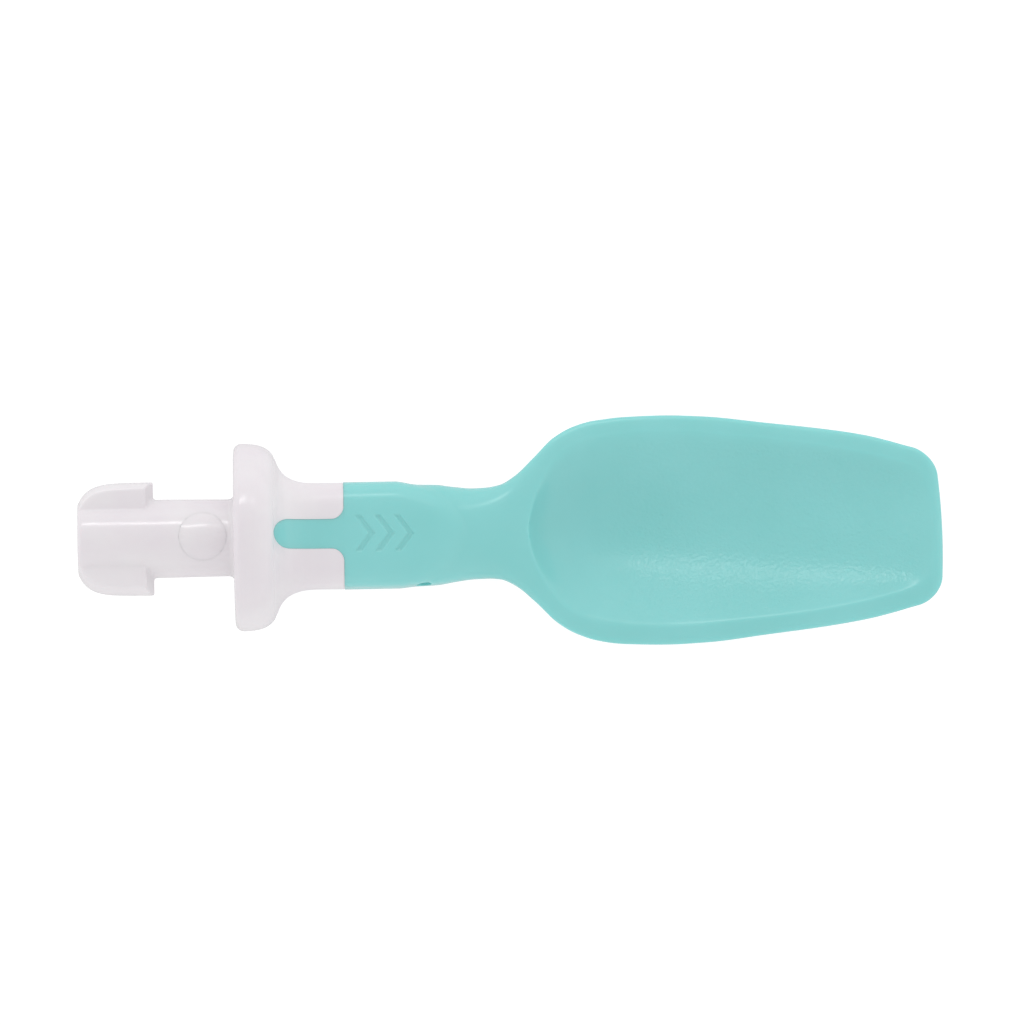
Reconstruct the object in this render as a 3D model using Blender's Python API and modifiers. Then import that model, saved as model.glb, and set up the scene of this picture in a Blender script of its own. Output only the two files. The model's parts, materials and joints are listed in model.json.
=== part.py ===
"""Soft spoon tip for a hand-held oral-motor vibrator.

A rigid plug connector carries an overmoulded soft spoon. The shaft's axis is the X axis: x = 0 is
the plug's end face and +X runs to the spoon's tip. The spoon opens towards +Z. Sizes are in metres.
"""

import math

import bmesh
import bpy

GAP = 0.0003  # room between two pieces that touch
OVERLAP = 0.0005  # how far a form runs into the one it is joined to
CUT_OVER = 0.001  # how far a cutter reaches past the skin it cuts

# Plug and shaft
SHAFT_R = 0.0040
SHAFT_END_R = 0.00392  # at the collar, after the moulding draft
END_FILLET = 0.0005
LUG_R = 0.00578
LUG_START = 0.00025
LUG_NOSE_R = 0.00405
LUG_NOSE_REACH = 0.0011  # how soon the nose swells to the lug's full radius
LUG_FORM_END = 0.0079  # behind the apex, so that the slab's rear face cuts the lugs
LUG_RINGS = 7
LUG_HALF_THICKNESS = 0.0028
LUG_REAR_FLAT = 0.00692  # where the lug's sloping rear face meets its flats
LUG_REAR_APEX = 0.00774

# Collar
COLLAR_BACK = 0.01596
COLLAR_R = 0.00956
COLLAR_EDGE_R = 0.0008
COLLAR_SHOULDER = ((0.0172, 1.0), (0.0179, 0.9935), (0.0185, 0.982), (0.0191, 0.958), (0.0196, 0.922),
                   (0.0200, 0.875))  # (x, share of the collar's radius)

# Neck sleeve and the core that runs into the soft neck
SLEEVE_END = 0.02715  # the line where the rigid sleeve meets the soft neck
CORE_START = 0.0255
CORE_END = 0.041
CORE_HALF_WIDTH = 0.0032
CORE_HALF_HEIGHT = 0.0016
CORE_EDGE_R = 0.0006
CORE_HOLES = (0.0315, 0.0368)
RIVET_R = 0.0012
RIVET_HEIGHT = 0.0052  # through the core and into the skin above and below it

# Slot in the sleeve's front and back, filled by a finger of the soft neck
SLOT_HALF_WIDTH = 0.00151
SLOT_START = 0.02005
SLOT_FLOOR = 0.0026  # height above the axis
SLOT_MOUTH_R = 0.0013
SLOT_MOUTH_END = 352  # where the mouth's arcs stop, in degrees
SLOT_CUT = 0.008  # the cutter's height

# Round plug in the shaft's front
PLUG_X = 0.01275
PLUG_R = 0.00243
PLUG_FLOOR = 0.0016
POCKET_CUT = 0.006  # the cutter's height

# Spoon
TIP = 0.0881
TIP_CORNER_R = 0.0023
TIP_EDGE_R = 0.0010
TIP_EDGE_SHARE = 0.4  # what is left of the rim's height and the back's depth at the tip's end face
TIP_BOW = 0.00043  # how far the tip's corners lie behind its middle
TIP_BOW_START = 0.078
RECESS_X = 0.0352
RECESS_R = 0.0008
RECESS_FLOOR = 0.0049
RECESS_CUT = 0.004  # the cutter's length
HOLLOW_START = 0.0459
HOLLOW_END = 0.0872
LIP_R = 0.0003

# Curves along X, as (x, value)
FLARE_HALF_WIDTH = ((0.0190, 0.0087), (0.0200, 0.0082), (0.0206, 0.00698), (0.0212, 0.00625),
                    (0.0222, 0.00570), (0.0234, 0.00543), (0.0246, 0.00538), (0.0273, 0.00538))
FLARE_HALF_HEIGHT = ((0.0190, 0.0087), (0.0200, 0.0080), (0.0206, 0.00662), (0.0212, 0.00570),
                     (0.0222, 0.00490), (0.0234, 0.00446), (0.0246, 0.00430), (0.0273, 0.00425))
FLARE_SQUARENESS = ((0.0190, 2.0), (0.0205, 2.2), (0.0240, 3.6), (0.0273, 4.0))
SPOON_HALF_WIDTH = ((0.0270, 0.00542), (0.0324, 0.00542), (0.0344, 0.00518), (0.0366, 0.00510),
                    (0.0385, 0.00483), (0.0405, 0.00464), (0.0417, 0.00465), (0.0430, 0.00481),
                    (0.0446, 0.00561), (0.0466, 0.00739), (0.0487, 0.00943), (0.0507, 0.01058),
                    (0.0528, 0.01122), (0.0558, 0.01159), (0.0599, 0.01170), (0.0640, 0.01153),
                    (0.0701, 0.01082), (0.0762, 0.01007), (0.0807, 0.00934), (0.0830, 0.00882),
                    (0.0855, 0.00815), (0.0881, 0.00752))
SPOON_FRONT = ((0.0270, 0.00425), (0.0360, 0.00420), (0.0410, 0.0034), (0.0450, 0.0028),
               (0.0500, 0.0026), (0.0750, 0.0023), (0.0881, 0.0024))
SPOON_BACK = ((0.0270, -0.00425), (0.0360, -0.0041), (0.0410, -0.0034), (0.0450, -0.0034),
              (0.0510, -0.0039), (0.0565, -0.0041), (0.0620, -0.0039), (0.0700, -0.0030),
              (0.0780, -0.0019), (0.0840, -0.0009), (0.0881, -0.0002))
EDGE_BELOW_FRONT = ((0.0270, 0.00425), (0.0400, 0.0034), (0.0480, 0.0008), (0.0881, 0.0007))
BACK_SQUARENESS = ((0.0270, 4.0), (0.0400, 2.6), (0.0500, 2.1), (0.0881, 2.6))
FRONT_SQUARENESS = ((0.0270, 4.0), (0.0340, 3.6), (0.0400, 2.6), (0.0480, 3.6), (0.0881, 3.6))
HOLLOW_DEPTH = ((0.0459, 0.0), (0.0467, 0.0016), (0.0479, 0.0030), (0.0497, 0.0038),
                (0.0522, 0.0042), (0.0560, 0.0044), (0.0600, 0.0042), (0.0676, 0.0036), (0.0758, 0.00275),
                (0.0800, 0.0021), (0.0830, 0.0015), (0.0850, 0.0009), (0.0863, 0.0004), (0.0872, 0.0))
HOLLOW_HALF_WIDTH = ((0.0459, 0.0), (0.0462, 0.0022), (0.0470, 0.0045), (0.0485, 0.0070),
                     (0.0500, 0.0085), (0.0525, 0.0096), (0.0560, 0.01005), (0.0600, 0.01012),
                     (0.0680, 0.00948), (0.0762, 0.0084), (0.0823, 0.00715), (0.0856, 0.0062),
                     (0.0872, 0.0050))
HOLLOW_SQUARENESS = ((0.0459, 2.0), (0.0600, 2.0), (0.0760, 2.8), (0.0872, 4.5))
WALL_POWER = ((0.0459, 1.5), (0.0520, 1.5), (0.0600, 1.3), (0.0872, 1.1))  # higher is gentler at the lip

# Places of the lofts' sections along X, as (start, end, steps)
FLARE_PLACES = (0.0190, 0.0246, 12)
SLEEVE_START = 0.0255
NECK_PLACES = (SLEEVE_END + GAP / 2, 0.0440, 10)
THROAT_PLACES = (0.0450, 0.0500, 10)
BOWL_PLACES = (0.0515, TIP - TIP_CORNER_R, 20)
CORNER_ANGLES = (20, 38, 54, 68, 80, 90)  # round the tip's corners, in degrees

# Mesh density
ROUND_STEPS = 40
FRONT_POINTS, BACK_POINTS = 36, 22
SLEEVE_POINTS = 40


# ---------------------------------------------------------------- helpers

def clear_scene():
    for item in list(bpy.data.objects):
        bpy.data.objects.remove(item, do_unlink=True)


def new_collection(name):
    made = bpy.data.collections.new(name)
    bpy.context.scene.collection.children.link(made)
    return made


def plastic(name, colour, roughness):
    made = bpy.data.materials.new(name)
    made.use_nodes = True
    shader = made.node_tree.nodes["Principled BSDF"]
    shader.inputs["Base Color"].default_value = (*colour, 1.0)
    shader.inputs["Roughness"].default_value = roughness
    shader.inputs["Metallic"].default_value = 0.0
    return made


def new_object(name, mesh, collection):
    made = bpy.data.objects.new(name, mesh)
    collection.objects.link(made)
    return made


def mark_as_cutter(item):
    item.hide_render = True
    item.display_type = "WIRE"


def along(stations, x):
    """Value at x of the smooth curve through the stations, with no overshoot between them."""
    if x <= stations[0][0]:
        return stations[0][1]
    if x >= stations[-1][0]:
        return stations[-1][1]
    rises = [(b[1] - a[1]) / (b[0] - a[0]) for a, b in zip(stations, stations[1:])]
    slopes = [rises[0]]
    for before, after in zip(rises, rises[1:]):
        same_way = before * after > 0
        slopes.append(2 * before * after / (before + after) if same_way else 0.0)
    slopes.append(rises[-1])
    i = max(k for k in range(len(rises)) if stations[k][0] <= x)
    (x0, y0), (x1, y1) = stations[i], stations[i + 1]
    span = x1 - x0
    t = (x - x0) / span
    return (y0 * (1 + 2 * t) * (1 - t) ** 2 + slopes[i] * span * t * (1 - t) ** 2
            + y1 * t * t * (3 - 2 * t) + slopes[i + 1] * span * t * t * (t - 1))


def spread(start, end, count):
    """count + 1 places from start to end, evenly spaced."""
    return [start + (end - start) * i / count for i in range(count + 1)]


def arc(centre, radius, start_deg, end_deg, steps):
    """Points on an arc round centre, both ends included."""
    angles = [math.radians(a) for a in spread(start_deg, end_deg, steps)]
    return [(centre[0] + radius * math.cos(a), centre[1] + radius * math.sin(a)) for a in angles]


def turned(name, profile, collection):
    """A solid turned about the X axis from (x, radius) points that start and end on the axis."""
    mesh = bpy.data.meshes.new(name)
    points = [(radius, 0.0, x) for x, radius in profile]
    edges = [(i, i + 1) for i in range(len(points) - 1)]
    mesh.from_pydata(points, edges, [])
    made = new_object(name, mesh, collection)
    made.rotation_euler = (0.0, math.radians(90), 0.0)
    screw = made.modifiers.new("Turn", "SCREW")
    screw.steps = screw.render_steps = ROUND_STEPS
    screw.use_merge_vertices = True
    screw.merge_threshold = 0.00001
    screw.use_normal_calculate = True
    return made


def prism(name, outline, thickness, collection):
    """A closed flat outline in its own XY plane, given thickness along its own Z."""
    curve = bpy.data.curves.new(name, "CURVE")
    curve.dimensions = "2D"
    curve.fill_mode = "BOTH"
    curve.extrude = thickness / 2
    line = curve.splines.new("POLY")
    line.points.add(len(outline) - 1)
    for point, (x, y) in zip(line.points, outline):
        point.co = (x, y, 0.0, 1.0)
    line.use_cyclic_u = True
    drawn = new_object(name + "_outline", curve, collection)
    bpy.context.view_layer.update()
    evaluated = drawn.evaluated_get(bpy.context.evaluated_depsgraph_get())
    mesh = bpy.data.meshes.new_from_object(evaluated)
    bpy.data.objects.remove(drawn, do_unlink=True)
    welded = bmesh.new()
    welded.from_mesh(mesh)
    bmesh.ops.remove_doubles(welded, verts=welded.verts, dist=0.000001)
    bmesh.ops.recalc_face_normals(welded, faces=welded.faces)
    welded.to_mesh(mesh)
    welded.free()
    return new_object(name, mesh, collection)


def cylinder(name, radius, length, location, rotation, collection):
    form = bmesh.new()
    bmesh.ops.create_cone(form, cap_ends=True, segments=ROUND_STEPS, radius1=radius, radius2=radius,
                          depth=length)
    mesh = bpy.data.meshes.new(name)
    form.to_mesh(mesh)
    form.free()
    made = new_object(name, mesh, collection)
    made.location = location
    made.rotation_euler = rotation
    return made


def rounded_block(name, low, high, edge_radius, collection):
    form = bmesh.new()
    bmesh.ops.create_cube(form, size=1.0)
    for vertex in form.verts:
        vertex.co = [(a + b) / 2 + c * (b - a) for a, b, c in zip(low, high, vertex.co)]
    mesh = bpy.data.meshes.new(name)
    form.to_mesh(mesh)
    form.free()
    made = new_object(name, mesh, collection)
    bevel = made.modifiers.new("Rounded edges", "BEVEL")
    bevel.width = edge_radius
    bevel.segments = 3
    return made


def loft(name, sections, collection):
    """A closed skin over sections that all have the same number of points, capped at both ends."""
    form = bmesh.new()
    rings = [[form.verts.new(point) for point in section] for section in sections]
    for ring, following in zip(rings, rings[1:]):
        for i in range(len(ring)):
            j = (i + 1) % len(ring)
            form.faces.new((ring[i], ring[j], following[j], following[i]))
    form.faces.new(rings[0])
    form.faces.new(list(reversed(rings[-1])))
    bmesh.ops.recalc_face_normals(form, faces=form.faces)
    mesh = bpy.data.meshes.new(name)
    form.to_mesh(mesh)
    form.free()
    return new_object(name, mesh, collection)


def combine(target, operation, others):
    for other in others:
        mark_as_cutter(other)
        step = target.modifiers.new(operation.title() + " " + other.name, "BOOLEAN")
        step.operation = operation
        step.solver = "EXACT"
        step.object = other


def finish_piece(item, material):
    item.data.materials.append(material)
    item.data.shade_smooth()
    item.data.set_sharp_from_angle(angle=math.radians(35))


# ---------------------------------------------------------------- shapes shared by the pieces

def sleeve_form(name, end, collection):
    """The flare and the sleeve: round at the collar, a rounded rectangle at the neck."""
    sections = []
    for x in spread(*FLARE_PLACES) + spread(SLEEVE_START, end, 2):
        half_width = along(FLARE_HALF_WIDTH, x)
        half_height = along(FLARE_HALF_HEIGHT, x)
        power = 2 / along(FLARE_SQUARENESS, x)
        ring = []
        for i in range(SLEEVE_POINTS):
            angle = 2 * math.pi * i / SLEEVE_POINTS
            across, up = math.cos(angle), math.sin(angle)
            ring.append((x, math.copysign(abs(across) ** power, across) * half_width,
                         math.copysign(abs(up) ** power, up) * half_height))
        sections.append(ring)
    return loft(name, sections, collection)


def slot_outline(inset, end):
    """The slot seen from the front: a round blind end, and a mouth that widens in two arcs."""
    half = SLOT_HALF_WIDTH - inset
    centre = SLOT_START + SLOT_HALF_WIDTH
    mouth_r = SLOT_MOUTH_R + inset
    mouth_x = SLEEVE_END - SLOT_MOUTH_R
    upper = arc((mouth_x, half + mouth_r), mouth_r, 270, SLOT_MOUTH_END, 5)
    lower = [(x, -y) for x, y in upper]
    wide = upper[-1][1]
    return arc((centre, 0.0), half, 90, 270, 12) + lower + [(end, -wide), (end, wide)] + upper[::-1]


# ---------------------------------------------------------------- pieces

def make_lugs(cutters):
    """Two bayonet lugs in one block: a turned ogive cut to a slab with a sloping rear face."""
    nose = [(LUG_START, 0.0)]
    for share in spread(0.0, 1.0, LUG_RINGS):
        behind = share ** 2 * (LUG_FORM_END - LUG_START)
        nose.append((LUG_START + behind,
                     LUG_R - (LUG_R - LUG_NOSE_R) * math.exp(-behind / LUG_NOSE_REACH)))
    lugs = turned("lug_form", nose + [(LUG_FORM_END, 0.0)], cutters)
    half = LUG_HALF_THICKNESS
    outline = [(-CUT_OVER, -half), (LUG_REAR_FLAT, -half), (LUG_REAR_APEX, 0.0), (LUG_REAR_FLAT, half),
               (-CUT_OVER, half)]
    slab = prism("lug_slab", outline, 2 * (LUG_R + CUT_OVER), cutters)
    slab.rotation_euler = (math.radians(90), 0.0, 0.0)
    combine(lugs, "INTERSECT", [slab])
    return lugs


def make_connector(parts, cutters, material):
    profile = [(0.0, 0.0)] + arc((END_FILLET, SHAFT_R - END_FILLET), END_FILLET, 180, 90, 4)
    profile += [(COLLAR_BACK / 2, SHAFT_R)]
    root = (COLLAR_BACK - END_FILLET, SHAFT_END_R + END_FILLET)
    profile += arc(root, END_FILLET, 270, 360, 4)
    profile += arc((COLLAR_BACK + COLLAR_EDGE_R, COLLAR_R - COLLAR_EDGE_R), COLLAR_EDGE_R, 180, 90, 4)
    profile += [(x, COLLAR_R * share) for x, share in COLLAR_SHOULDER]
    profile += [(COLLAR_SHOULDER[-1][0] + OVERLAP, 0.0)]
    connector = turned("connector", profile, parts)
    core = rounded_block("core", (CORE_START, -CORE_HALF_WIDTH, -CORE_HALF_HEIGHT),
                         (CORE_END, CORE_HALF_WIDTH, CORE_HALF_HEIGHT), CORE_EDGE_R, cutters)
    combine(connector, "UNION", [make_lugs(cutters),
                                 sleeve_form("sleeve", SLEEVE_END - GAP / 2, cutters), core])
    slots = []
    for side, name in ((1, "front_slot"), (-1, "back_slot")):
        slot = prism(name, slot_outline(0.0, SLEEVE_END + CUT_OVER), SLOT_CUT, cutters)
        slot.location.z = side * (SLOT_FLOOR + SLOT_CUT / 2)
        slots.append(slot)
    holes = [cylinder(f"core_hole_{i}", RIVET_R + GAP, RIVET_HEIGHT, (x, 0, 0), (0, 0, 0), cutters)
             for i, x in enumerate(CORE_HOLES, 1)]
    pocket = cylinder("shaft_pocket", PLUG_R + GAP, POCKET_CUT,
                      (PLUG_X, 0, PLUG_FLOOR + POCKET_CUT / 2), (0, 0, 0), cutters)
    combine(connector, "DIFFERENCE", slots + holes + [pocket])
    finish_piece(connector, material)
    return connector


def make_shaft_plug(parts, cutters, material):
    """The round plug, flush with the shaft: a disc cut to the shaft's own curve."""
    height = SHAFT_R - PLUG_FLOOR
    plug = cylinder("shaft_plug", PLUG_R, height, (PLUG_X, 0, PLUG_FLOOR + GAP + height / 2),
                    (0, 0, 0), parts)
    shaft = cylinder("shaft_form", SHAFT_R, 2 * (PLUG_R + CUT_OVER), (PLUG_X, 0, 0),
                     (0, math.radians(90), 0), cutters)
    combine(plug, "INTERSECT", [shaft])
    finish_piece(plug, material)
    return plug


def plan_half_width(x):
    """Half width of the spoon, with the two round corners of its tip."""
    into_corner = max(0.0, x - (TIP - TIP_CORNER_R)) / TIP_CORNER_R
    return along(SPOON_HALF_WIDTH, x) - TIP_CORNER_R * (1 - math.sqrt(max(0.0, 1 - into_corner ** 2)))


def hollow(x, y):
    """Depth of the bowl below its rim plane, rounded where it leaves the rim."""
    reach = along(HOLLOW_HALF_WIDTH, x)
    if not HOLLOW_START < x < HOLLOW_END or abs(y) >= reach:
        return 0.0
    share = (1 - (abs(y) / reach) ** along(HOLLOW_SQUARENESS, x)) ** along(WALL_POWER, x)
    middle_depth = along(HOLLOW_DEPTH, x)
    rounding = LIP_R / middle_depth
    return middle_depth * share * share * (1 + rounding) / (share + rounding)


def tip_bow(x, y):
    """How far the skin is drawn back, so that the tip's end face bows out in the middle."""
    t = max(0.0, x - TIP_BOW_START) / (TIP - TIP_BOW_START)
    return t * t * (3 - 2 * t) * TIP_BOW * (y / SPOON_HALF_WIDTH[-1][1]) ** 2


def spoon_section(x):
    half_width = plan_half_width(x)
    front = along(SPOON_FRONT, x)
    edge = front - along(EDGE_BELOW_FRONT, x)
    into_edge = max(0.0, x - (TIP - TIP_EDGE_R)) / TIP_EDGE_R
    shrink = TIP_EDGE_SHARE + (1 - TIP_EDGE_SHARE) * math.sqrt(max(0.0, 1 - into_edge ** 2))
    front_power = along(FRONT_SQUARENESS, x)
    ring = []
    for i in range(FRONT_POINTS + 1):
        across = math.cos(math.pi * i / FRONT_POINTS)
        up = (1 - abs(across) ** front_power) ** (1 / front_power)
        y = half_width * across
        ring.append((x - tip_bow(x, y), y, edge + (front - edge) * up * shrink - hollow(x, y)))
    back_power = 2 / along(BACK_SQUARENESS, x)
    depth = (edge - along(SPOON_BACK, x)) * shrink
    for i in range(1, BACK_POINTS):
        angle = math.pi * (1 + i / BACK_POINTS)
        across, down = math.cos(angle), -math.sin(angle)
        y = half_width * math.copysign(abs(across) ** back_power, across)
        ring.append((x - tip_bow(x, y), y, edge - depth * down ** back_power))
    return ring


def make_spoon(parts, cutters, material):
    places = spread(*NECK_PLACES) + spread(*THROAT_PLACES) + spread(*BOWL_PLACES)
    places += [TIP - TIP_CORNER_R * (1 - math.sin(math.radians(a))) for a in CORNER_ANGLES]
    spoon = loft("spoon", [spoon_section(x) for x in places], parts)
    fingers = []
    for side, name in ((1, "front_finger"), (-1, "back_finger")):
        finger = sleeve_form(name, SLEEVE_END + OVERLAP, cutters)
        outline = prism(name + "_outline", slot_outline(GAP, SLEEVE_END + CUT_OVER), SLOT_CUT, cutters)
        outline.location.z = side * (SLOT_FLOOR + GAP + SLOT_CUT / 2)
        combine(finger, "INTERSECT", [outline])
        fingers.append(finger)
    combine(spoon, "UNION", fingers)
    pocket = rounded_block("core_pocket", (CORE_START, -CORE_HALF_WIDTH - GAP, -CORE_HALF_HEIGHT - GAP),
                           (CORE_END + GAP, CORE_HALF_WIDTH + GAP, CORE_HALF_HEIGHT + GAP), CORE_EDGE_R,
                           cutters)
    recesses = [cylinder(name, RECESS_R, RECESS_CUT, (RECESS_X, side * (RECESS_FLOOR + RECESS_CUT / 2), 0),
                         (math.radians(90), 0, 0), cutters)
                for side, name in ((1, "left_recess"), (-1, "right_recess"))]
    combine(spoon, "DIFFERENCE", [pocket] + recesses)
    rivets = [cylinder(f"rivet_{i}", RIVET_R, RIVET_HEIGHT, (x, 0, 0), (0, 0, 0), cutters)
              for i, x in enumerate(CORE_HOLES, 1)]
    combine(spoon, "UNION", rivets)
    finish_piece(spoon, material)
    return spoon


def main():
    clear_scene()
    parts = new_collection("spoon_tip")
    cutters = new_collection("cutters")
    white = plastic("white_plastic", (0.76, 0.73, 0.755), 0.28)
    cap = plastic("plug_plastic", (0.76, 0.73, 0.755), 0.26)
    teal = plastic("soft_teal", (0.26, 0.62, 0.61), 0.45)
    make_connector(parts, cutters, white)
    make_shaft_plug(parts, cutters, cap)
    make_spoon(parts, cutters, teal)


main()
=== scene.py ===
"""Looks of the soft spoon tip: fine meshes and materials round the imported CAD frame. Metres, +Z up."""

import json
import math

import bmesh
import bpy
import numpy as np
from mathutils import Euler, Matrix, Vector


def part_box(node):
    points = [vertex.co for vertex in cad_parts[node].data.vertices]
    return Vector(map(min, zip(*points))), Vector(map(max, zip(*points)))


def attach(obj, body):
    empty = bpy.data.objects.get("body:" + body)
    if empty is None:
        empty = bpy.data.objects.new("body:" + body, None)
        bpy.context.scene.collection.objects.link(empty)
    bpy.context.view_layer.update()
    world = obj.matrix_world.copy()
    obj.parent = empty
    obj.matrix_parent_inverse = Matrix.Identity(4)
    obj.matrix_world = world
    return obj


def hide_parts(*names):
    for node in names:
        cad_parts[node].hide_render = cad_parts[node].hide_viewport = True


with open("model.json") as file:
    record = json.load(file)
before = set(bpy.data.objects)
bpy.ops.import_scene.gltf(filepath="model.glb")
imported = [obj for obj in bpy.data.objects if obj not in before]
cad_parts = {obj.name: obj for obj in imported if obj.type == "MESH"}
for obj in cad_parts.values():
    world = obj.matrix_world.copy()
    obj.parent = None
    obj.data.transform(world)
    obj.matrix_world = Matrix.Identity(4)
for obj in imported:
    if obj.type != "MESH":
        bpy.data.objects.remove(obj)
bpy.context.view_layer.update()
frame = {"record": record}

# ---------------------------------------------------------------- sizes from the frame
MOUNTS = {mount["name"]: mount for mount in frame["record"]["mounts"]}
CONNECTOR_LOW, CONNECTOR_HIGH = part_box("connector")
SPOON_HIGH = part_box("spoon")[1]
CAP_LOW, CAP_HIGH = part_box("shaft_plug")

COLLAR_R = CONNECTOR_HIGH.y
COLLAR_BACK = MOUNTS["collar_back"]["pos_m"][0]
LUG_HALF_THICKNESS = MOUNTS["lug_flat_front"]["pos_m"][2]
CORE_END = CONNECTOR_HIGH.x
TIP = SPOON_HIGH.x
CAP_X = (CAP_LOW.x + CAP_HIGH.x) / 2
CAP_R = (CAP_HIGH.x - CAP_LOW.x) / 2
CAP_FLOOR = CAP_LOW.z
SHAFT_R = CAP_HIGH.z

# ---------------------------------------------------------------- sizes the frame doesn't name
SHAFT_END_R = 0.00392  # at the collar; the shaft tapers a little towards it
END_FILLET = 0.0005
ROOT_FILLET = 0.0006
LUG_START, LUG_FORM_END = 0.00025, 0.0079
LUG_R = 0.00578
LUG_START_PROUD = 0.0001  # over the shaft
LUG_NOSE_REACH = 0.0011  # length over which the ogive does most of its rise
LUG_REAR_FLAT = 0.00692
LUG_REAR_APEX = 0.00774
COLLAR_EDGE_R = 0.0008
COLLAR_FRONT = 0.0200
COLLAR_FACE_RISE = 0.0001  # at the axis, hidden in the flare
FLARE_START, FLARE_END = 0.0190, 0.0246
SLEEVE_END = 0.02715
SLEEVE_SPARE = 0.0006  # length that the end cut takes off again
SEAM = 0.000006  # half the line left between the two mouldings
CUT_OVER = 0.001  # how far a cutter runs past what it cuts
END_CUT = 0.002  # length of the cutter that squares the sleeve's end
FINGER_SUNK = 0.00003  # the finger's face under the sleeve's
FINGER_INTO_NECK = 0.0004  # overlap that joins the finger to the neck
CORE_START, CORE_EDGE_R = 0.0255, 0.0006
CORE_HALF_WIDTH = 0.0032
CORE_HALF_HEIGHT = 0.0016
SLOT_START = 0.02005
SLOT_HALF_WIDTH = 0.00151
SLOT_FLOOR = 0.0026
SLOT_MOUTH_R = 0.0013
SLOT_MOUTH_END = 352  # degrees
POCKET_GAP = 0.000002  # round the shaft cap
POCKET_CUT, POCKET_UNDER_CAP = 0.005, 0.0003  # the cutter's length, and the room left under the cap
CAP_PROUD = 0.00002
CAP_TILTS = (-0.9, 0.3)  # degrees about X and Y, so that one side stands prouder
CAP_FORM_LENGTH = 0.012
CAP_BROKEN_EDGE = 0.00001
RECESS_X, RECESS_R = 0.0352, 0.0008
RECESSES = ((1, 2, 0.0002), (-1, 14, 0.0004))  # (side, degrees forward of it, depth)
TIP_CORNER_R = 0.0023
TIP_EDGE_R = 0.0010
TIP_FLAT = 0.04  # share of the spoon's height left at its very end
TIP_BOW_START = 0.078
TIP_BOW = 0.00043
TIP_SKEW = 0.00024
HOLLOW_START, HOLLOW_END = 0.0459, 0.0872
LIP_R = 0.00013
PAD_SQUARENESS, PAD_STRAIGHT_END, PAD_END = 4.0, 0.0340, 0.0410
PAD_BLEND_POWER = 6  # higher keeps the blend closer to the neck's sides

# Curves along X, as (x, value)
COLLAR_SHOULDER = ((0.0172, 1.0), (0.0179, 0.9935), (0.0185, 0.982), (0.0191, 0.958), (0.0196, 0.922),
                   (0.0200, 0.875))  # share of COLLAR_R
FLARE_HALF_WIDTH = ((0.0190, 0.0087), (0.0200, 0.0082), (0.0206, 0.00698), (0.0212, 0.00625),
                    (0.0222, 0.00570), (0.0234, 0.00543), (0.0246, 0.00538), (0.0273, 0.00538))
FLARE_HALF_HEIGHT = ((0.0190, 0.0087), (0.0200, 0.0080), (0.0206, 0.00662), (0.0212, 0.00570),
                     (0.0222, 0.00490), (0.0234, 0.00446), (0.0246, 0.00430), (0.0273, 0.00425))
FLARE_SQUARENESS = ((0.0190, 2.0), (0.0205, 2.2), (0.0240, 3.6), (0.0273, 4.0))
SPOON_HALF_WIDTH = ((0.0270, 0.00542), (0.0324, 0.00542), (0.0344, 0.00518), (0.0366, 0.00510),
                    (0.0385, 0.00483), (0.0405, 0.00464), (0.0417, 0.00465), (0.0430, 0.00481),
                    (0.0446, 0.00561), (0.0466, 0.00739), (0.0487, 0.00943), (0.0507, 0.01058),
                    (0.0528, 0.01122), (0.0558, 0.01159), (0.0599, 0.01170), (0.0640, 0.01153),
                    (0.0701, 0.01082), (0.0762, 0.01007), (0.0807, 0.00934), (0.0830, 0.00882),
                    (0.0855, 0.00815), (0.0881, 0.00752))
CENTRE_LINE = ((0.0325, 0.0), (0.0346, -0.00008), (0.0370, -0.00005), (0.0400, 0.0),
               (0.0475, 0.00022), (0.0495, 0.00016), (0.0540, 0.0))
CROWN = ((0.0270, 0.0038), (0.0340, 0.0037), (0.0380, 0.0035), (0.0410, 0.0032),
         (0.0445, 0.0028), (0.0500, 0.0026), (0.0750, 0.0023), (0.0881, 0.0024))
CROWN_SQUARENESS = ((0.0270, 3.4), (0.0340, 3.2), (0.0400, 2.4), (0.0480, 3.6), (0.0881, 3.6))
PAD_TOP = ((0.0270, 0.004235), (0.0340, 0.00421), (0.0410, 0.00415))
PAD_BLEND = ((0.0270, 0.0003), (0.0335, 0.0003), (0.0370, 0.0008), (0.0400, 0.0006), (0.0410, 0.0))
PAD_SHOULDER_POWER = ((0.0270, 0.25), (0.0335, 0.25), (0.0380, 0.55), (0.0410, 0.8))
EDGE_BELOW_CROWN = ((0.0270, 0.0038), (0.0400, 0.0033), (0.0480, 0.0008), (0.0881, 0.0007))
BACK = ((0.0270, -0.00425), (0.0360, -0.0041), (0.0410, -0.0034), (0.0450, -0.0034),
        (0.0510, -0.0039), (0.0565, -0.0041), (0.0620, -0.0039), (0.0700, -0.0030),
        (0.0780, -0.0019), (0.0840, -0.0009), (0.0881, -0.0002))
BACK_SQUARENESS = ((0.0270, 4.0), (0.0400, 2.6), (0.0500, 2.1), (0.0881, 2.6))
HOLLOW_DEPTH = ((0.0459, 0.0), (0.0469, 0.0014), (0.0485, 0.0027), (0.0505, 0.0036),
                (0.0530, 0.0041), (0.0560, 0.0044), (0.0600, 0.0042), (0.0676, 0.0036), (0.0758, 0.00275),
                (0.0800, 0.0021), (0.0830, 0.0015), (0.0850, 0.0009), (0.0863, 0.0004), (0.0872, 0.0))
HOLLOW_HALF_WIDTH = ((0.0459, 0.0), (0.0462, 0.0022), (0.0470, 0.0045), (0.0485, 0.0070),
                     (0.0500, 0.0085), (0.0525, 0.0096), (0.0560, 0.01005), (0.0600, 0.01012),
                     (0.0680, 0.00948), (0.0762, 0.0084), (0.0823, 0.00715), (0.0856, 0.0062),
                     (0.0872, 0.0050))
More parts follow.
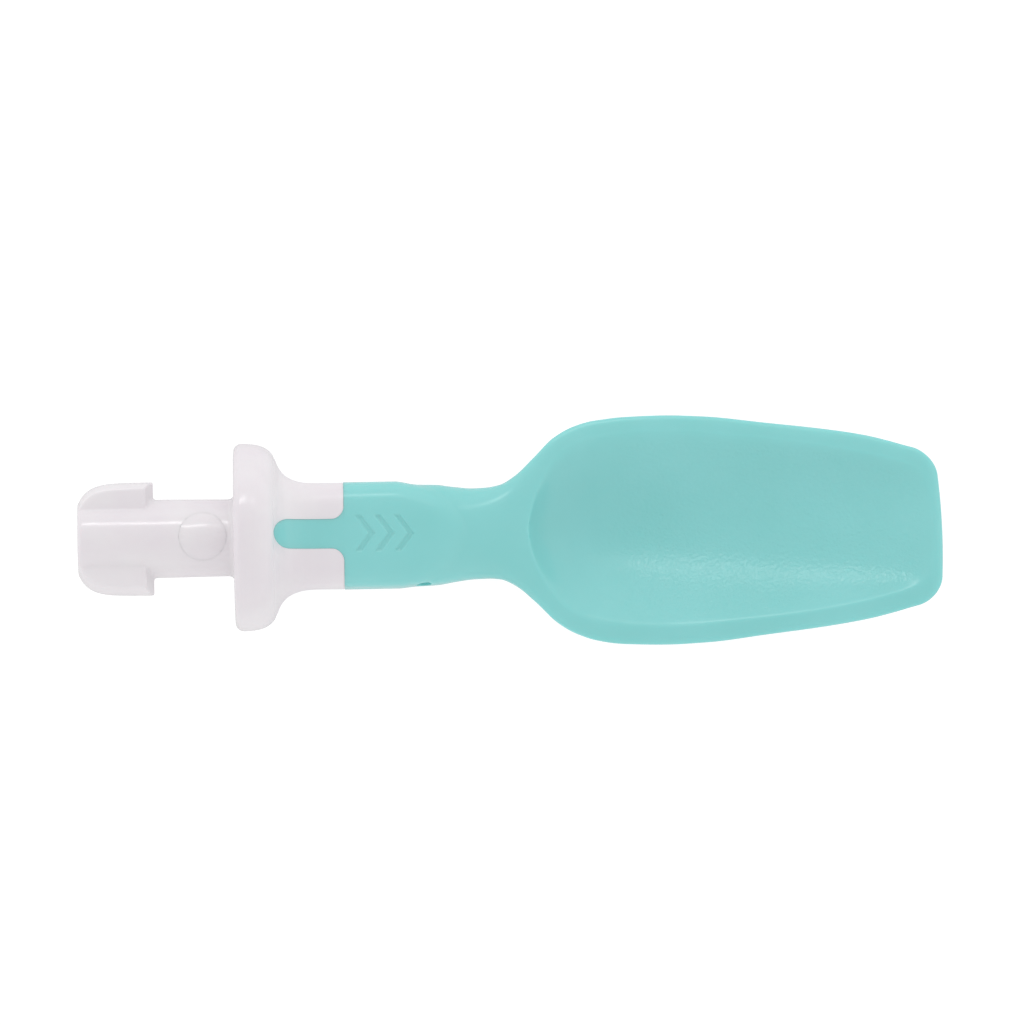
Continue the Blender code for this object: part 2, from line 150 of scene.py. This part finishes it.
HOLLOW_SQUARENESS = ((0.0459, 2.0), (0.0600, 2.0), (0.0760, 2.8), (0.0872, 4.5))
WALL_POWER = ((0.0459, 1.5), (0.0520, 1.5), (0.0600, 1.3), (0.0872, 1.1))

# Grip mark sunk in the neck's front: plain chevrons
CHEVRON_TIPS = (0.0300, 0.0320, 0.0340)
CHEVRON_HALF_SPAN, CHEVRON_STROKE, CHEVRON_DEPTH, CHEVRON_SLANT = 0.0018, 0.0006, 0.00016, 0.75
CHEVRON_EDGE = 0.00018  # width of its soft edge

# Mesh density
ROUND_STEPS = 256
SLEEVE_POINTS = 192
FLARE_RINGS, SLEEVE_RINGS, SLEEVE_RING_GAP = 70, 24, 0.0002
FRONT_POINTS, BACK_POINTS = 140, 60
SPOON_RINGS = ((SLEEVE_END + SEAM, 0.0375, 150), (0.0377, 0.0440, 40), (0.0441, 0.0510, 56),
               (0.0512, TIP - TIP_CORNER_R, 170))  # (from, to, how many)
TIP_RINGS, TIP_FIRST_DEG = 24, 4
VOXEL = 0.00013
SOFTEN_STEPS = 6

# Finish of the surfaces: (dark, light) shades and (low, high) roughness
PLASTIC_SHADES = ((0.785, 0.740, 0.777), (0.81, 0.780, 0.802))
PLASTIC_ROUGHNESS = (0.12, 0.20)
SATIN_RISE, SATIN_STEP = 0.165, 0.0001  # more roughness, from the collar's front on
SILICONE_SHADES = ((0.249, 0.639, 0.629), (0.263, 0.655, 0.649))
SILICONE_ROUGHNESS = (0.17, 0.25)
BLAST_X, BLAST_Z = (0.0510, 0.0580), (0.0016, 0.0021)  # coarse grain comes in over X, fades out over Z
BLAST_LEAST = 0.1

# Stage
CAMERA_DISTANCE = 2.0
CAMERA_LEAN = 3.5
CAMERA_ROLL = -0.90
FRAME_WIDTH = 0.10455
VIEW_CENTRE = Vector((0.04435, 0.00213, 0.0))
FLOOR_X, FLOOR_GAP = 0.04, 0.0002
FLOOR_GLOW = 0.84
SKY = ((0.0, 0.66), (0.46, 0.72), (0.53, 1.09), (0.70, 1.07), (0.85, 0.915), (0.95, 0.74),
       (1.0, 0.60))  # brightness from straight down to straight up
LIGHTS = (("key", 103, 44, 0.8, 0.33, 0.10, 0.60),
          ("side_key", 72, 44, 0.8, 0.15, 0.14, 0.10),
          ("soft_box", 80, 62, 0.9, 0.60, 0.60, 0.15))  # in the order that area_light takes


# ---------------------------------------------------------------- helpers

def along(stations, x):
    """Values at x of the smooth curve through the stations, with no overshoot between them."""
    places, values = np.array(stations).T
    rises = np.diff(values) / np.diff(places)
    product = rises[:-1] * rises[1:]
    total = np.where(product > 0, rises[:-1] + rises[1:], 1.0)
    inner = np.where(product > 0, 2 * product / total, 0.0)
    slopes = np.concatenate([rises[:1], inner, rises[-1:]])
    x = np.clip(x, places[0], places[-1])
    i = np.clip(np.searchsorted(places, x) - 1, 0, len(rises) - 1)
    span = places[i + 1] - places[i]
    t = (x - places[i]) / span
    return (values[i] * (1 + 2 * t) * (1 - t) ** 2 + slopes[i] * span * t * (1 - t) ** 2
            + values[i + 1] * t * t * (3 - 2 * t) + slopes[i + 1] * span * t * t * (t - 1))


def ease(t):
    """0 to 1 with no corner at either end."""
    t = np.clip(t, 0.0, 1.0)
    return t * t * (3 - 2 * t)


def signed_power(value, power):
    return np.sign(value) * np.abs(value) ** power


def arc(centre, radius, start_deg, end_deg, steps):
    """Points on an arc round centre, both ends included."""
    angles = np.radians(np.linspace(start_deg, end_deg, steps + 1))
    return [(centre[0] + radius * math.cos(a), centre[1] + radius * math.sin(a)) for a in angles]


def new_object(name, mesh):
    made = bpy.data.objects.new(name, mesh)
    bpy.context.scene.collection.objects.link(made)
    return made


def zipped(ring, halfway):
    """Faces across a thin bowed ring of indices, whose first side ends at place halfway."""
    first = ring[:halfway + 1].tolist()
    second = (ring[halfway:].tolist() + [first[0]])[::-1]
    matching = [second[round(k * (len(second) - 1) / halfway)] for k in range(halfway + 1)]
    faces = [list(dict.fromkeys((first[k], first[k + 1], matching[k + 1], matching[k])))
             for k in range(halfway)]
    return [face for face in faces if len(face) > 2]


def ring_loft(name, rings, zip_at=None):
    """A closed skin over rings, (rings, points, 3), with flat caps or the last one zipped at a point."""
    count, points = rings.shape[:2]
    index = np.arange(count * points).reshape(count, points)
    following = np.roll(index, -1, axis=1)
    quads = np.stack([index[:-1], following[:-1], following[1:], index[1:]], axis=-1)
    last_cap = [index[-1].tolist()] if zip_at is None else zipped(index[-1], zip_at)
    faces = quads.reshape(-1, 4).tolist() + [index[0][::-1].tolist()] + last_cap
    mesh = bpy.data.meshes.new(name)
    mesh.from_pydata(rings.reshape(-1, 3).tolist(), [], faces)
    form = bmesh.new()
    form.from_mesh(mesh)
    bmesh.ops.recalc_face_normals(form, faces=form.faces)
    form.to_mesh(mesh)
    form.free()
    return new_object(name, mesh)


def turned(name, profile):
    """A solid turned about the X axis from (x, radius) points that start and end on the axis."""
    mesh = bpy.data.meshes.new(name)
    points = [(radius, 0.0, x) for x, radius in profile]
    mesh.from_pydata(points, [(i, i + 1) for i in range(len(points) - 1)], [])
    made = new_object(name, mesh)
    made.rotation_euler = (0.0, math.radians(90), 0.0)
    screw = made.modifiers.new("Turn", "SCREW")
    screw.steps = screw.render_steps = ROUND_STEPS
    screw.use_merge_vertices = True
    screw.merge_threshold = 0.000001
    screw.use_normal_calculate = True
    return made


def prism(name, outline, low, high):
    """A closed outline in the XY plane, raised from z = low to z = high."""
    form = bmesh.new()
    face = form.faces.new([form.verts.new((x, y, low)) for x, y in outline])
    raised = bmesh.ops.extrude_face_region(form, geom=[face])["geom"]
    for item in raised:
        if isinstance(item, bmesh.types.BMVert):
            item.co.z = high
    bmesh.ops.recalc_face_normals(form, faces=form.faces)
    mesh = bpy.data.meshes.new(name)
    form.to_mesh(mesh)
    form.free()
    return new_object(name, mesh)


def cylinder(name, radius, length, centre, rotation=(0.0, 0.0, 0.0)):
    form = bmesh.new()
    place = Matrix.Translation(centre) @ Euler(rotation).to_matrix().to_4x4()
    bmesh.ops.create_cone(form, cap_ends=True, segments=ROUND_STEPS, radius1=radius, radius2=radius,
                          depth=length, matrix=place)
    mesh = bpy.data.meshes.new(name)
    form.to_mesh(mesh)
    form.free()
    return new_object(name, mesh)


def rounded_block(name, low, high, edge_radius=0.0):
    form = bmesh.new()
    bmesh.ops.create_cube(form, size=1.0)
    for vertex in form.verts:
        vertex.co = [(a + b) / 2 + c * (b - a) for a, b, c in zip(low, high, vertex.co)]
    if edge_radius > 0:
        bmesh.ops.bevel(form, geom=form.edges[:], offset=edge_radius, segments=6, profile=0.5,
                        affect="EDGES")
    mesh = bpy.data.meshes.new(name)
    form.to_mesh(mesh)
    form.free()
    return new_object(name, mesh)


def settle(item):
    """Applies every modifier and the object's own transform, in place."""
    bpy.context.view_layer.update()
    evaluated = item.evaluated_get(bpy.context.evaluated_depsgraph_get())
    mesh = bpy.data.meshes.new_from_object(evaluated)
    mesh.transform(item.matrix_world)
    item.modifiers.clear()
    item.data = mesh
    item.matrix_world = Matrix.Identity(4)
    return item


def combine(target, operation, other):
    """One Boolean step, applied at once; the other object is used up."""
    step = target.modifiers.new(operation.title(), "BOOLEAN")
    step.operation = operation
    step.solver = "EXACT"
    step.object = other
    settle(target)
    bpy.data.objects.remove(other, do_unlink=True)
    return target


def join(name, items):
    """One object that holds the settled meshes of several."""
    form = bmesh.new()
    for item in items:
        settle(item)
        form.from_mesh(item.data)
        bpy.data.objects.remove(item, do_unlink=True)
    mesh = bpy.data.meshes.new(name)
    form.to_mesh(mesh)
    form.free()
    return new_object(name, mesh)


# ---------------------------------------------------------------- materials

def shader_nodes(name):
    """A new material, its node tree and its shader."""
    made = bpy.data.materials.new(name)
    made.use_nodes = True
    tree = made.node_tree
    return made, tree, tree.nodes["Principled BSDF"]


def noise(tree, scale, detail=2.0):
    """Noise in the object's own metres, so that it sits still on the piece."""
    place = tree.nodes.new("ShaderNodeTexCoord")
    made = tree.nodes.new("ShaderNodeTexNoise")
    made.inputs["Scale"].default_value = scale
    made.inputs["Detail"].default_value = detail
    tree.links.new(place.outputs["Object"], made.inputs["Vector"])
    return made.outputs["Fac"]


def place_along(tree, axis):
    """The object's own X, Y or Z, in metres."""
    place = tree.nodes.new("ShaderNodeTexCoord")
    parts = tree.nodes.new("ShaderNodeSeparateXYZ")
    tree.links.new(place.outputs["Object"], parts.inputs["Vector"])
    return parts.outputs[axis]


def calculate(tree, operation, first, second):
    """One sum on two linked values."""
    made = tree.nodes.new("ShaderNodeMath")
    made.operation = operation
    tree.links.new(first, made.inputs[0])
    tree.links.new(second, made.inputs[1])
    return made.outputs["Value"]


def spread_over(tree, value, from_low, from_high, to_low, to_high):
    """The value carried from one range to another and held at its ends."""
    made = tree.nodes.new("ShaderNodeMapRange")
    for name, number in (("From Min", from_low), ("From Max", from_high), ("To Min", to_low),
                         ("To Max", to_high)):
        made.inputs[name].default_value = number
    tree.links.new(value, made.inputs["Value"])
    return made.outputs["Result"]


def mottle(tree, value, dark, light):
    """Colour that drifts between two close shades."""
    made = tree.nodes.new("ShaderNodeMix")
    made.data_type = "RGBA"
    made.inputs["A"].default_value = (*dark, 1.0)
    made.inputs["B"].default_value = (*light, 1.0)
    tree.links.new(value, made.inputs["Factor"])
    return made.outputs["Result"]


def bump(tree, height, distance, strength=None, under=None):
    """Relief of that height, on top of another bump when one is given."""
    made = tree.nodes.new("ShaderNodeBump")
    made.inputs["Strength"].default_value = 1.0
    if strength is not None:
        tree.links.new(strength, made.inputs["Strength"])
    made.inputs["Distance"].default_value = distance
    tree.links.new(height, made.inputs["Height"])
    if under is not None:
        tree.links.new(under, made.inputs["Normal"])
    return made.outputs["Normal"]


def white_plastic(name):
    """White plastic with a lilac cast and a little orange peel, glossy up to the flare and satin on it."""
    made, tree, shader = shader_nodes(name)
    cloud = spread_over(tree, noise(tree, 160.0, 3.0), 0.35, 0.65, 0.0, 1.0)
    tree.links.new(mottle(tree, cloud, *PLASTIC_SHADES), shader.inputs["Base Color"])
    satin = spread_over(tree, place_along(tree, "X"), COLLAR_FRONT, COLLAR_FRONT + SATIN_STEP,
                        0.0, SATIN_RISE)
    grain = spread_over(tree, noise(tree, 900.0), 0.3, 0.7, *PLASTIC_ROUGHNESS)
    tree.links.new(calculate(tree, "ADD", grain, satin), shader.inputs["Roughness"])
    peel = bump(tree, noise(tree, 620.0, 1.0), 0.000024)
    tree.links.new(bump(tree, noise(tree, 4200.0, 1.0), 0.0000025, under=peel),
                   shader.inputs["Normal"])
    shader.inputs["IOR"].default_value = 1.5
    shader.inputs["Subsurface Weight"].default_value = 0.25
    shader.inputs["Subsurface Radius"].default_value = (1.0, 0.9, 0.9)
    shader.inputs["Subsurface Scale"].default_value = 0.0004
    return made


def soft_silicone(name):
    """Translucent teal silicone with the fine grain of a blasted mould, which breaks up highlights."""
    made, tree, shader = shader_nodes(name)
    cloud = spread_over(tree, noise(tree, 110.0, 3.0), 0.35, 0.65, 0.0, 1.0)
    tree.links.new(mottle(tree, cloud, *SILICONE_SHADES), shader.inputs["Base Color"])
    grain = spread_over(tree, noise(tree, 1500.0), 0.3, 0.7, *SILICONE_ROUGHNESS)
    tree.links.new(grain, shader.inputs["Roughness"])
    soft = bump(tree, noise(tree, 700.0, 2.0), 0.000008)
    far_enough = spread_over(tree, place_along(tree, "X"), *BLAST_X, BLAST_LEAST, 1.0)
    deep_enough = spread_over(tree, place_along(tree, "Z"), *BLAST_Z, 1.0, BLAST_LEAST)
    blasted = calculate(tree, "MULTIPLY", far_enough, deep_enough)
    tree.links.new(bump(tree, noise(tree, 2900.0, 1.0), 0.000062, blasted, under=soft),
                   shader.inputs["Normal"])
    shader.inputs["IOR"].default_value = 1.43
    shader.inputs["Subsurface Weight"].default_value = 0.35
    shader.inputs["Subsurface Radius"].default_value = (0.6, 1.0, 1.0)
    shader.inputs["Subsurface Scale"].default_value = 0.0012
    return made


def finish_piece(item, material, node):
    """Material, smooth shading, and the CAD node that the piece stands in for."""
    item.data.materials.clear()
    item.data.materials.append(material)
    item.data.shade_smooth()
    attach(item, "root")
    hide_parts(node)


# ---------------------------------------------------------------- connector

def sleeve_form(name, end, sunk=0.0):
    """The flare and the sleeve: round at the collar, a rounded rectangle at the neck."""
    x = np.concatenate([np.linspace(FLARE_START, FLARE_END, FLARE_RINGS),
                        np.linspace(FLARE_END + SLEEVE_RING_GAP, end, SLEEVE_RINGS)])[:, None]
    angle = np.linspace(0.0, 2 * math.pi, SLEEVE_POINTS, endpoint=False)[None, :]
    power = 2 / along(FLARE_SQUARENESS, x)
    y = signed_power(np.cos(angle), power) * (along(FLARE_HALF_WIDTH, x) - sunk)
    z = signed_power(np.sin(angle), power) * (along(FLARE_HALF_HEIGHT, x) - sunk)
    return ring_loft(name, np.stack([np.broadcast_to(x, y.shape), y, z], axis=-1))


def slot_outline(inset, end):
    """The slot seen from the front: a round blind end, and a mouth that widens in two arcs."""
    half = SLOT_HALF_WIDTH - inset
    mouth_r = SLOT_MOUTH_R + inset
    upper = arc((SLEEVE_END - SLOT_MOUTH_R, half + mouth_r), mouth_r, 270, SLOT_MOUTH_END, 12)
    lower = [(x, -y) for x, y in upper]
    wide = upper[-1][1]
    blind_end = arc((SLOT_START + SLOT_HALF_WIDTH, 0.0), half, 90, 270, 28)
    return blind_end + lower + [(end, -wide), (end, wide)] + upper[::-1]


def slot_block(name, side, inset, end, floor):
    """The slot's outline from its floor out past the flare, on the front or the back."""
    low, high = sorted((side * floor, side * 2.2 * FLARE_HALF_HEIGHT[-1][1]))
    return prism(name, slot_outline(inset, end), low, high)


def turned_body():
    """Plug nose, shaft and collar."""
    profile = [(0.0, 0.0)] + arc((END_FILLET, SHAFT_R - END_FILLET), END_FILLET, 180, 90, 10)
    profile += [(x, SHAFT_R) for x in (0.003, 0.006, 0.009)]
    profile += arc((COLLAR_BACK - ROOT_FILLET, SHAFT_END_R + ROOT_FILLET), ROOT_FILLET, 270, 360, 12)
    profile += arc((COLLAR_BACK + COLLAR_EDGE_R, COLLAR_R - COLLAR_EDGE_R), COLLAR_EDGE_R, 180, 90, 14)
    shoulder_x = np.linspace(COLLAR_SHOULDER[0][0], COLLAR_FRONT, 26)
    profile += [(x, COLLAR_R * along(COLLAR_SHOULDER, x)) for x in shoulder_x]
    return turned("body_form", profile + [(COLLAR_FRONT + COLLAR_FACE_RISE, 0.0)])


def lug_form():
    """Two bayonet lugs in one block: a turned ogive cut to a slab with a sloping rear face."""
    x = LUG_START + np.linspace(0.0, 1.0, 60) ** 2 * (LUG_FORM_END - LUG_START)
    nose_r = SHAFT_R + LUG_START_PROUD
    radius = nose_r + (LUG_R - nose_r) * (1 - np.exp(-(x - LUG_START) / LUG_NOSE_REACH))
    profile = [(LUG_START, 0.0)] + list(zip(x.tolist(), radius.tolist())) + [(float(x[-1]), 0.0)]
    lugs = settle(turned("lug_form", profile))
    half = LUG_HALF_THICKNESS
    slab = prism("lug_slab", [(-CUT_OVER, -half), (LUG_REAR_FLAT, -half), (LUG_REAR_APEX, 0.0),
                              (LUG_REAR_FLAT, half), (-CUT_OVER, half)], -1.5 * LUG_R, 1.5 * LUG_R)
    slab.rotation_euler = (math.radians(90), 0.0, 0.0)
    return combine(lugs, "INTERSECT", slab)


def make_connector(material):
    """One skin over the turned body, the lugs and the sleeve, then the cuts and the core."""
    sleeve = sleeve_form("sleeve_form", SLEEVE_END + SLEEVE_SPARE)
    connector = join("connector_moulding", [turned_body(), lug_form(), sleeve])
    remesh = connector.modifiers.new("One skin", "REMESH")
    remesh.mode = "VOXEL"
    remesh.voxel_size = VOXEL
    remesh.use_smooth_shade = True
    smooth = connector.modifiers.new("Softened edges", "SMOOTH")
    smooth.factor = 0.5
    smooth.iterations = SOFTEN_STEPS
    settle(connector)
    reach = 2 * FLARE_HALF_WIDTH[-1][1]
    combine(connector, "DIFFERENCE",
            rounded_block("end_cut", (SLEEVE_END - SEAM, -reach, -reach),
                          (SLEEVE_END + END_CUT, reach, reach)))
    for side in (1, -1):
        combine(connector, "DIFFERENCE", slot_block("slot", side, 0.0, SLEEVE_END + CUT_OVER, SLOT_FLOOR))
    combine(connector, "UNION",
            rounded_block("core_form", (CORE_START, -CORE_HALF_WIDTH, -CORE_HALF_HEIGHT),
                          (CORE_END, CORE_HALF_WIDTH, CORE_HALF_HEIGHT), CORE_EDGE_R))
    combine(connector, "DIFFERENCE",
            cylinder("cap_pocket", CAP_R + POCKET_GAP, POCKET_CUT,
                     (CAP_X, 0.0, CAP_FLOOR - POCKET_UNDER_CAP + POCKET_CUT / 2)))
    finish_piece(connector, material, "connector")
    connector.data.set_sharp_from_angle(angle=math.radians(55))
    return connector


def make_cap(material):
    """The round plug in the shaft, a hair proud of it at one side."""
    height = SHAFT_R - CAP_FLOOR + CUT_OVER
    cap = cylinder("shaft_cap", CAP_R, height, (CAP_X, 0.0, CAP_FLOOR + height / 2))
    shaft = cylinder("cap_form", SHAFT_R + CAP_PROUD, CAP_FORM_LENGTH, (CAP_X, 0.0, 0.0),
                     (0.0, math.radians(90), 0.0))
    shaft.rotation_euler = (math.radians(CAP_TILTS[0]), math.radians(CAP_TILTS[1]), 0.0)
    combine(cap, "INTERSECT", shaft)
    bevel = cap.modifiers.new("Broken edge", "BEVEL")
    bevel.width = CAP_BROKEN_EDGE
    bevel.segments = 2
    bevel.limit_method = "ANGLE"
    bevel.angle_limit = math.radians(40)
    settle(cap)
    finish_piece(cap, material, "shaft_plug")
    cap.data.set_sharp_from_angle(angle=math.radians(30))
    return cap


# ---------------------------------------------------------------- spoon

def plan_half_width(x):
    """Half width of the spoon, with the two round corners of its tip."""
    into_corner = np.clip((x - (TIP - TIP_CORNER_R)) / TIP_CORNER_R, 0.0, 1.0)
    return along(SPOON_HALF_WIDTH, x) - TIP_CORNER_R * (1 - np.sqrt(1 - into_corner ** 2))


def hollow(x, y):
    """Depth of the bowl below its rim plane, rounded where it leaves the rim."""
    reach = np.maximum(along(HOLLOW_HALF_WIDTH, x), 1e-6)
    across = np.clip(np.abs(y) / reach, 0.0, 1.0)
    share = (1 - across ** along(HOLLOW_SQUARENESS, x)) ** along(WALL_POWER, x)
    middle_depth = along(HOLLOW_DEPTH, x)
    rounding = LIP_R / np.maximum(middle_depth, 1e-6)
    depth = middle_depth * share * share * (1 + rounding) / (share + rounding)
    return np.where((x > HOLLOW_START) & (x < HOLLOW_END), depth, 0.0)


def pad(x, y, half_width, edge):
    """The neck's flat front with its square shoulders, which ends in a low rounded nose."""
    past = np.maximum(0.0, x - PAD_STRAIGHT_END) / (PAD_END - PAD_STRAIGHT_END)
    outward = np.clip(np.hypot(y / half_width, past), 0.0, 1.0)
    share = (1 - outward ** PAD_SQUARENESS) ** along(PAD_SHOULDER_POWER, x)
    return edge + (along(PAD_TOP, x) - edge) * share


def smooth_max(a, b, blend):
    """The higher of two surfaces, rounded where they meet."""
    share = np.clip(0.5 + (a - b) / (2 * blend), 0.0, 1.0)
    return b + (a - b) * share + blend * share * (1 - share)


def chevrons(x, y):
    """Depth of the grip mark."""
    depth = np.zeros(np.broadcast(x, y).shape)
    for tip in CHEVRON_TIPS:
        from_middle = np.abs(x - (tip - CHEVRON_SLANT * np.abs(y)))
        inside = ease((CHEVRON_STROKE / 2 - from_middle) / CHEVRON_EDGE + 0.5)
        depth = np.maximum(depth, inside * ease((CHEVRON_HALF_SPAN - np.abs(y)) / CHEVRON_EDGE + 0.5))
    return depth * CHEVRON_DEPTH


def front_surface(x, y, half_width, edge, shrink):
    """Height of the front: the crowned skin, the pad on the neck, the bowl and the grip mark."""
    crown = along(CROWN, x)
    power = along(CROWN_SQUARENESS, x)
    up = np.clip(1 - np.abs(y / half_width) ** power, 0.0, 1.0) ** (1 / power)
    z = edge + (crown - edge) * up * shrink
    blend = np.maximum(along(PAD_BLEND, x) * (1 - np.abs(y / half_width) ** PAD_BLEND_POWER), 1e-9)
    z = np.where(x < PAD_END, smooth_max(pad(x, y, half_width, edge), z, blend), z)
    return z - hollow(x, y) - chevrons(x, y)


def spoon_rings(x):
    """Rings of the spoon's skin at every x, an array of (rings, points, 3)."""
    x = x[:, None]
    half_width = plan_half_width(x)
    edge = along(CROWN, x) - along(EDGE_BELOW_CROWN, x)
    into_edge = np.clip((x - (TIP - TIP_EDGE_R)) / TIP_EDGE_R, 0.0, 1.0)
    shrink = TIP_FLAT + (1 - TIP_FLAT) * np.sqrt(1 - into_edge ** 2)
    front_y = half_width * np.cos(np.linspace(0.0, math.pi, FRONT_POINTS + 1))[None, :]
    front_z = front_surface(x, front_y, half_width, edge, shrink)
    angle = math.pi * (1 + np.arange(1, BACK_POINTS) / BACK_POINTS)[None, :]
    power = 2 / along(BACK_SQUARENESS, x)
    back_y = half_width * signed_power(np.cos(angle), power)
    back_z = edge - (edge - along(BACK, x)) * shrink * np.abs(np.sin(angle)) ** power
    y = np.concatenate([front_y, back_y], axis=1)
    z = np.concatenate([front_z, back_z], axis=1)
    across = y / SPOON_HALF_WIDTH[-1][1]
    along_bow = ease((x - TIP_BOW_START) / (TIP - TIP_BOW_START))
    pull = along_bow * (TIP_BOW * across ** 2 + TIP_SKEW * across)
    return np.stack([x - pull, y + along(CENTRE_LINE, x), z], axis=-1)


def pocket_rings(first_ring):
    """The pocket that holds the core, as rings that line up with the skin's first ring."""
    across = first_ring[:, 1] / np.abs(first_ring[:, 1]).max()
    up = first_ring[:, 2] / np.abs(first_ring[:, 2]).max()
    ring = first_ring.copy()
    ring[:, 1] = across * (CORE_HALF_WIDTH + SEAM)
    ring[:, 2] = up * (CORE_HALF_HEIGHT + SEAM)
    floor = ring.copy()
    floor[:, 0] = CORE_END + SEAM
    return np.stack([floor, ring])


def recess(side, forward_deg, depth):
    """Cutter for the small round dimple in the neck's side, turned a little to the front."""
    tilt = math.radians(forward_deg)
    outward = Vector((0.0, side * math.cos(tilt), math.sin(tilt)))
    skin = spoon_rings(np.array([RECESS_X]))[0]
    reach = float((skin @ np.array(outward) * (skin[:, 1] * side > 0)).max())
    return cylinder("recess", RECESS_R, 2 * depth, Vector((RECESS_X, 0.0, 0.0)) + outward * reach,
                    Vector((0.0, 0.0, 1.0)).rotation_difference(outward).to_euler())


def make_spoon(material):
    """The soft moulding: its skin with the core's pocket, a finger in each slot, and the dimples."""
    round_tip = 1 - np.sin(np.radians(np.linspace(TIP_FIRST_DEG, 90, TIP_RINGS)))
    stretches = [np.linspace(*stretch) for stretch in SPOON_RINGS]
    skin = spoon_rings(np.concatenate(stretches + [TIP - TIP_CORNER_R * round_tip]))
    spoon = ring_loft("soft_spoon", np.concatenate([pocket_rings(skin[0]), skin]), zip_at=FRONT_POINTS)
    for side in (1, -1):
        finger = sleeve_form("finger", SLEEVE_END + FINGER_INTO_NECK, sunk=FINGER_SUNK)
        combine(finger, "INTERSECT", slot_block("finger_outline", side, SEAM, SLEEVE_END + CUT_OVER,
                                                SLOT_FLOOR + SEAM))
        combine(spoon, "UNION", finger)
    for side, forward_deg, depth in RECESSES:
        combine(spoon, "DIFFERENCE", recess(side, forward_deg, depth))
    finish_piece(spoon, material, "spoon")
    spoon.data.set_sharp_from_angle(angle=math.radians(50))
    return spoon


# ---------------------------------------------------------------- stage

def make_floor():
    """A plain floor just under the collar, lit from within so that it shows as white."""
    mesh = bpy.data.meshes.new("floor")
    form = bmesh.new()
    bmesh.ops.create_grid(form, x_segments=1, y_segments=1, size=3.0)
    form.to_mesh(mesh)
    form.free()
    floor = new_object("floor", mesh)
    floor.location = (FLOOR_X, 0.0, CONNECTOR_LOW.z - FLOOR_GAP)
    made, tree, shader = shader_nodes("pale_floor")
    shader.inputs["Base Color"].default_value = (0.25, 0.25, 0.25, 1.0)
    shader.inputs["Roughness"].default_value = 0.9
    shader.inputs["Emission Color"].default_value = (1.0, 1.0, 1.0, 1.0)
    shader.inputs["Emission Strength"].default_value = FLOOR_GLOW
    made.cycles.emission_sampling = "NONE"
    floor.visible_glossy = False
    floor.data.materials.append(made)


def area_light(name, across_deg, tilt_deg, distance, length, width, power):
    """A light that faces the spoon, long side level, tilted off +Z towards across_deg in the XY plane."""
    data = bpy.data.lights.new(name, "AREA")
    data.shape = "RECTANGLE"
    data.size, data.size_y = length, width
    data.energy = power
    light = bpy.data.objects.new(name, data)
    bpy.context.scene.collection.objects.link(light)
    across, tilt = math.radians(across_deg), math.radians(tilt_deg)
    back = Vector((math.sin(tilt) * math.cos(across), math.sin(tilt) * math.sin(across), math.cos(tilt)))
    light.location = VIEW_CENTRE + back * distance
    light.rotation_mode = "QUATERNION"
    light.rotation_quaternion = (-back).to_track_quat("-Z", "Y")


def make_world():
    """A white tent, brightest near the horizon and dimmer straight up and straight down."""
    world = bpy.data.worlds.new("studio")
    world.use_nodes = True
    world.cycles.sampling_method = "NONE"
    tree = world.node_tree
    direction = tree.nodes.new("ShaderNodeTexCoord")
    parts = tree.nodes.new("ShaderNodeSeparateXYZ")
    tree.links.new(direction.outputs["Generated"], parts.inputs["Vector"])
    ramp = tree.nodes.new("ShaderNodeValToRGB")
    tree.links.new(spread_over(tree, parts.outputs["Z"], -1.0, 1.0, 0.0, 1.0), ramp.inputs["Fac"])
    stops = ramp.color_ramp.elements
    while len(stops) < len(SKY):
        stops.new(0.5)
    for stop, (place, brightness) in zip(stops, SKY):
        stop.position = place
        stop.color = (brightness, brightness, brightness, 1.0)
    tree.links.new(ramp.outputs["Color"], tree.nodes["Background"].inputs["Color"])
    bpy.context.scene.world = world


def make_camera():
    """A long lens nearly square on to the spoon's open side, leaning and rolled a little."""
    data = bpy.data.cameras.new("camera")
    data.sensor_width = 36.0
    data.lens = data.sensor_width * CAMERA_DISTANCE / FRAME_WIDTH
    data.clip_start, data.clip_end = 0.05, 20.0
    camera = bpy.data.objects.new("camera", data)
    bpy.context.scene.collection.objects.link(camera)
    lean = Matrix.Rotation(math.radians(CAMERA_LEAN), 4, "X")
    roll = Matrix.Rotation(math.radians(CAMERA_ROLL), 4, "Z")
    back = lean.to_3x3() @ Vector((0.0, 0.0, 1.0))
    camera.matrix_world = Matrix.Translation(VIEW_CENTRE + back * CAMERA_DISTANCE) @ lean @ roll
    bpy.context.scene.camera = camera


make_camera()
make_world()
for light in LIGHTS:
    area_light(*light)
make_floor()
bpy.context.scene.view_settings.view_transform = "Standard"
make_connector(white_plastic("white_plastic_detail"))
make_cap(white_plastic("plug_plastic_detail"))
make_spoon(soft_silicone("soft_teal_detail"))
